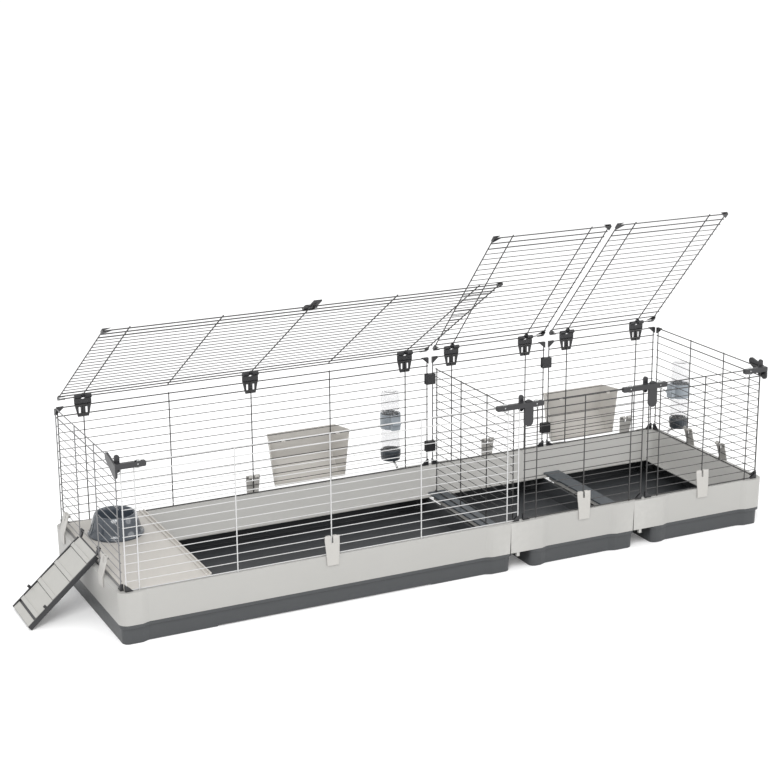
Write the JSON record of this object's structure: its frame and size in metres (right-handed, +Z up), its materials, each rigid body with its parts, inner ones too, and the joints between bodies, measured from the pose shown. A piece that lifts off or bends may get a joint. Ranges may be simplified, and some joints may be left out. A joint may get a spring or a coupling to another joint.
{
  "type": "rabbit cage",
  "caption": "Modular indoor rabbit cage: deep trays in light base frames, wire walls, hinged wire roofs, doorway with ramp, shelf, bowl, hay racks and bottles.",
  "frame": {"origin": "middle of the cage's footprint, on the floor", "axes": "+X along the cage's length toward the short compartments, +Y from front to rear, +Z up"},
  "size_m": [2.3123, 0.6583, 0.9445],
  "materials": {
    "light_frame_plastic": "satin moulded",
    "dark_tray_plastic": "satin moulded",
    "slate_plastic": "satin moulded",
    "warm_grey_plastic": "fine texture",
    "light_wire": "smooth coating",
    "grey_wire": "smooth coating",
    "dark_wire": "smooth coating",
    "black_plastic": "satin moulded",
    "clear_knob_plastic": "translucent",
    "light_clip_plastic": "satin moulded",
    "bluish_grey_plastic": "satin moulded",
    "dark_cap_plastic": "satin moulded",
    "spout_steel": "polished",
    "clear_bottle": "clear",
    "bowl_plastic": "glossy",
    "ramp_light_plastic": "ribbed",
    "ramp_dark_plastic": "satin moulded"
  },
  "bodies": {
    "cage": {"bottle_holders": "bluish_grey_plastic", "bridge_bars": "slate_plastic", "end_connectors": "black_plastic", "frame_large": "light_frame_plastic", "frame_small_1": "light_frame_plastic", "frame_small_2": "light_frame_plastic", "front_panel_large": "light_wire", "front_panel_small_1": "dark_wire", "front_panel_small_2": "dark_wire", "hinge_clips": "black_plastic", "left_end_panel": "grey_wire", "middle_connectors": "black_plastic", "partition_panel": "dark_wire", "rear_joiners": "black_plastic", "rear_panel_large": "dark_wire", "rear_panel_small_1": "dark_wire", "rear_panel_small_2": "dark_wire", "right_end_panel": "dark_wire", "shelf": "warm_grey_plastic", "tray_large": "dark_tray_plastic", "tray_small_1": "dark_tray_plastic", "tray_small_2": "dark_tray_plastic", "wall_corner_caps": "black_plastic"},
    "large_roof": {"roof_large": "dark_wire", "roof_fittings_large": "black_plastic", "roof_latch_body": "black_plastic"},
    "small_roof_1": {"roof_small_1": "dark_wire", "roof_fittings_small_1": "black_plastic"},
    "small_roof_2": {"roof_small_2": "dark_wire", "roof_fittings_small_2": "black_plastic"},
    "latch_lever": {"roof_latch_lever": "black_plastic"},
    "ramp": {"ramp_board": "ramp_light_plastic", "ramp_rails": "ramp_dark_plastic", "ramp_hooks": "ramp_dark_plastic"},
    "food_bowl": {"bowl": "bowl_plastic"},
    "rack_1": {"hay_rack_1": "warm_grey_plastic"},
    "rack_2": {"hay_rack_2": "warm_grey_plastic"},
    "water_bottle_1": {"bottle_1": "clear_bottle", "bottle_cap_1": "dark_cap_plastic", "bottle_spout_1": "spout_steel"},
    "water_bottle_2": {"bottle_2": "clear_bottle", "bottle_cap_2": "dark_cap_plastic", "bottle_spout_2": "spout_steel"},
    "clip_front_1": {"panel_clip_front_1": "light_clip_plastic"},
    "clip_front_2": {"panel_clip_front_2": "light_clip_plastic"},
    "clip_front_3": {"panel_clip_front_3": "light_clip_plastic"},
    "clip_rear_1": {"panel_clip_rear_1": "light_clip_plastic"},
    "clip_rear_2": {"panel_clip_rear_2": "light_clip_plastic"},
    "clip_rear_3": {"panel_clip_rear_3": "light_clip_plastic"},
    "clip_left_1": {"panel_clip_left_1": "light_clip_plastic"},
    "clip_left_2": {"panel_clip_left_2": "light_clip_plastic"},
    "clip_right_1": {"panel_clip_right_1": "light_clip_plastic"},
    "clip_right_2": {"panel_clip_right_2": "light_clip_plastic"},
    "knob_left_end": {"knob_left_end": "clear_knob_plastic"},
    "knob_middle_1_left": {"knob_middle_1_left": "clear_knob_plastic"},
    "knob_middle_1_right": {"knob_middle_1_right": "clear_knob_plastic"},
    "knob_middle_2_left": {"knob_middle_2_left": "clear_knob_plastic"},
    "knob_middle_2_right": {"knob_middle_2_right": "clear_knob_plastic"},
    "knob_right_end": {"knob_right_end": "clear_knob_plastic"}
  },
  "joints": [
    {"name": "large_roof_hinge", "type": "hinge", "parent": "cage", "child": "large_roof", "pos_m": [-0.42, 0.286, 0.52113], "axis": [-1, 0, 0], "range_deg": [-34.6, 77]},
    {"name": "small_roof_1_hinge", "type": "hinge", "parent": "cage", "child": "small_roof_1", "pos_m": [0.388, 0.286, 0.52113], "axis": [-1, 0, 0], "range_deg": [-49.6, 62]},
    {"name": "small_roof_2_hinge", "type": "hinge", "parent": "cage", "child": "small_roof_2", "pos_m": [0.808, 0.286, 0.52113], "axis": [-1, 0, 0], "range_deg": [-49.6, 62]},
    {"name": "latch_lever_hinge", "type": "hinge", "parent": "large_roof", "child": "latch_lever", "pos_m": [-0.42, -0.18533, 0.82721], "axis": [-1, 0, 0], "range_deg": [-90, 0]},
    {"name": "ramp_hinge", "type": "hinge", "parent": "cage", "child": "ramp", "pos_m": [-1.01515, 0, 0.19956], "axis": [0, 1, 0], "range_deg": [0, 131]},
    {"name": "clip_front_1_hinge", "type": "hinge", "parent": "cage", "child": "clip_front_1", "pos_m": [-0.42, -0.28315, 0.19956], "axis": [-1, 0, 0], "range_deg": [0, 50]},
    {"name": "clip_front_2_hinge", "type": "hinge", "parent": "cage", "child": "clip_front_2", "pos_m": [0.388, -0.28315, 0.19956], "axis": [-1, 0, 0], "range_deg": [0, 50]},
    {"name": "clip_front_3_hinge", "type": "hinge", "parent": "cage", "child": "clip_front_3", "pos_m": [0.808, -0.28315, 0.19956], "axis": [-1, 0, 0], "range_deg": [0, 50]},
    {"name": "clip_rear_1_hinge", "type": "hinge", "parent": "cage", "child": "clip_rear_1", "pos_m": [-0.42, 0.28315, 0.19956], "axis": [1, 0, 0], "range_deg": [0, 50]},
    {"name": "clip_rear_2_hinge", "type": "hinge", "parent": "cage", "child": "clip_rear_2", "pos_m": [0.388, 0.28315, 0.19956], "axis": [1, 0, 0], "range_deg": [0, 50]},
    {"name": "clip_rear_3_hinge", "type": "hinge", "parent": "cage", "child": "clip_rear_3", "pos_m": [0.912, 0.28315, 0.19956], "axis": [1, 0, 0], "range_deg": [0, 50]},
    {"name": "clip_left_1_hinge", "type": "hinge", "parent": "cage", "child": "clip_left_1", "pos_m": [-1.01515, -0.146, 0.19956], "axis": [0, 1, 0], "range_deg": [0, 50]},
    {"name": "clip_left_2_hinge", "type": "hinge", "parent": "cage", "child": "clip_left_2", "pos_m": [-1.01515, 0.214, 0.19956], "axis": [0, 1, 0], "range_deg": [0, 50]},
    {"name": "clip_right_1_hinge", "type": "hinge", "parent": "cage", "child": "clip_right_1", "pos_m": [1.01515, -0.088, 0.19956], "axis": [0, -1, 0], "range_deg": [0, 50]},
    {"name": "clip_right_2_hinge", "type": "hinge", "parent": "cage", "child": "clip_right_2", "pos_m": [1.01515, 0.088, 0.19956], "axis": [0, -1, 0], "range_deg": [0, 50]},
    {"name": "knob_left_end_turn", "type": "hinge", "parent": "cage", "child": "knob_left_end", "pos_m": [-0.964, -0.2932, 0.49663], "axis": [0, 1, 0], "range_deg": [0, 90]},
    {"name": "knob_middle_1_left_turn", "type": "hinge", "parent": "cage", "child": "knob_middle_1_left", "pos_m": [0.116, -0.2932, 0.49663], "axis": [0, 1, 0], "range_deg": [0, 90]},
    {"name": "knob_middle_1_right_turn", "type": "hinge", "parent": "cage", "child": "knob_middle_1_right", "pos_m": [0.219, -0.2932, 0.49663], "axis": [0, 1, 0], "range_deg": [0, 90]},
    {"name": "knob_middle_2_left_turn", "type": "hinge", "parent": "cage", "child": "knob_middle_2_left", "pos_m": [0.536, -0.2932, 0.49663], "axis": [0, 1, 0], "range_deg": [0, 90]},
    {"name": "knob_middle_2_right_turn", "type": "hinge", "parent": "cage", "child": "knob_middle_2_right", "pos_m": [0.639, -0.2932, 0.49663], "axis": [0, 1, 0], "range_deg": [0, 90]},
    {"name": "knob_right_end_turn", "type": "hinge", "parent": "cage", "child": "knob_right_end", "pos_m": [0.964, -0.2932, 0.49663], "axis": [0, 1, 0], "range_deg": [0, 90]},
    {"name": "bowl_lift", "type": "slide", "parent": "cage", "child": "food_bowl", "axis": [0, 0, 1], "range_m": [0, 0.1]},
    {"name": "hay_rack_1_lift", "type": "slide", "parent": "cage", "child": "rack_1", "axis": [0, 0, 1], "range_m": [0, 0.012]},
    {"name": "hay_rack_2_lift", "type": "slide", "parent": "cage", "child": "rack_2", "axis": [0, 0, 1], "range_m": [0, 0.012]},
    {"name": "bottle_1_lift", "type": "slide", "parent": "cage", "child": "water_bottle_1", "axis": [0, 0, 1], "range_m": [0, 0.008]},
    {"name": "bottle_2_lift", "type": "slide", "parent": "cage", "child": "water_bottle_2", "axis": [0, 0, 1], "range_m": [0, 0.008]}
  ]
}
